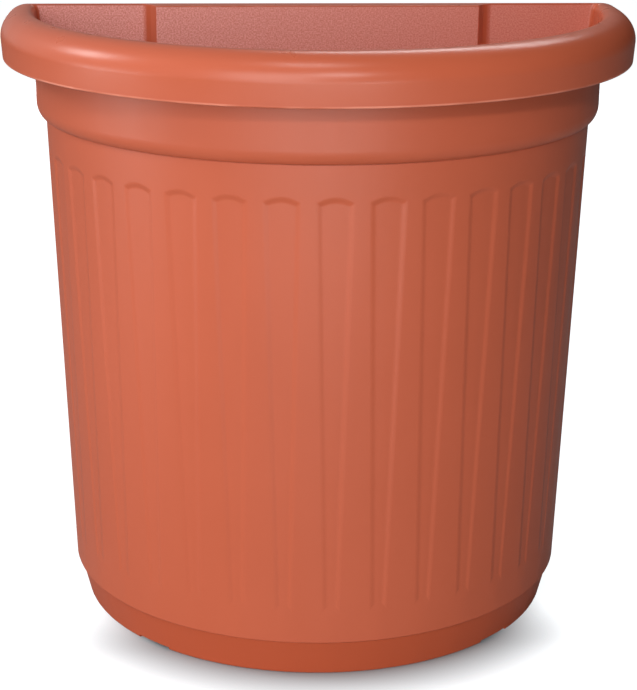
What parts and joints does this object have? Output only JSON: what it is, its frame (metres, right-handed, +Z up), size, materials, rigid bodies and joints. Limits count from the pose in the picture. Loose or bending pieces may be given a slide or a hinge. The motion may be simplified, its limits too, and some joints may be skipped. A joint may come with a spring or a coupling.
{
  "type": "wall planter",
  "caption": "Half-round fluted wall planter with a rolled rim, a flat back and push-in drain plugs.",
  "frame": {"origin": "under the middle of the box that the planter fills, on the ground", "axes": "+Z up, +Y out of the flat back towards the wall, +X along the back, so the round front faces -Y"},
  "size_m": [0.4, 0.2119, 0.39],
  "materials": {
    "terracotta_plastic": "fine moulded grain with a soft sheen",
    "plug_rubber": "matt"
  },
  "bodies": {
    "planter": {"planter_shell": "terracotta_plastic"},
    "plug_rear_left": {"drain_plug_rear_left": "plug_rubber"},
    "plug_front_left": {"drain_plug_front_left": "plug_rubber"},
    "plug_front_right": {"drain_plug_front_right": "plug_rubber"},
    "plug_rear_right": {"drain_plug_rear_right": "plug_rubber"}
  },
  "joints": [
    {"name": "plug_rear_left_pull", "type": "slide", "parent": "planter", "child": "plug_rear_left", "axis": [0, 0, 1], "range_m": [0, 0.02]},
    {"name": "plug_front_left_pull", "type": "slide", "parent": "planter", "child": "plug_front_left", "axis": [0, 0, 1], "range_m": [0, 0.02]},
    {"name": "plug_front_right_pull", "type": "slide", "parent": "planter", "child": "plug_front_right", "axis": [0, 0, 1], "range_m": [0, 0.02]},
    {"name": "plug_rear_right_pull", "type": "slide", "parent": "planter", "child": "plug_rear_right", "axis": [0, 0, 1], "range_m": [0, 0.02]}
  ]
}
